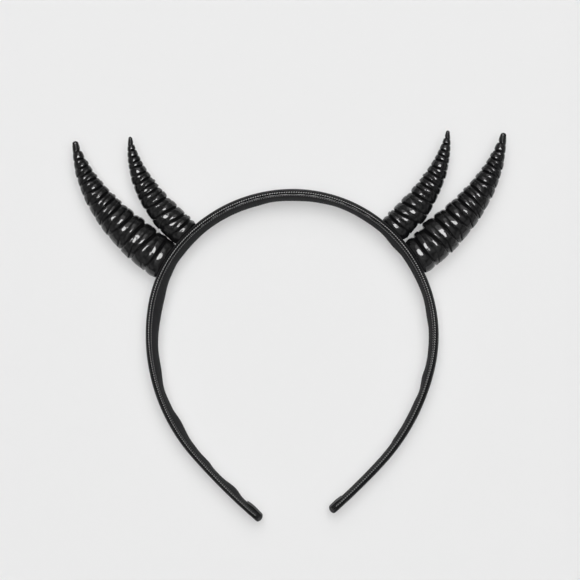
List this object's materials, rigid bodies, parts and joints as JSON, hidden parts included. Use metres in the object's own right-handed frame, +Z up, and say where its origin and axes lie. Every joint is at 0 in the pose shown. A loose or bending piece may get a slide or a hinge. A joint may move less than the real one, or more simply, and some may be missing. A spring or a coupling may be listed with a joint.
{
  "type": "horn headband",
  "caption": "Costume headband: a springy ribbon-covered hoop with a ribbed lining, carrying curved, ridged, glossy horns of a larger and a smaller size, lying on its edge.",
  "frame": {"origin": "middle of the part's box on the surface that it lies on", "axes": "+X across the head from the horns on one side to those on the other, +Y from the band's tips to its crown, +Z up from the surface"},
  "size_m": [0.1938, 0.1748, 0.0176],
  "materials": {
    "horn": "glossy moulded black plastic with ridges",
    "ribbon": "black woven ribbon with a looped selvedge",
    "lining": "matte dark grey ribbed ribbon",
    "hoop": "plain black plastic strip"
  },
  "bodies": {
    "root": {"outer_ribbon": "ribbon", "hoop": "hoop", "lining_ribbon": "lining", "horn_large_left": "horn", "horn_small_left": "horn", "horn_small_right": "horn", "horn_large_right": "horn"}
  },
  "joints": []
}
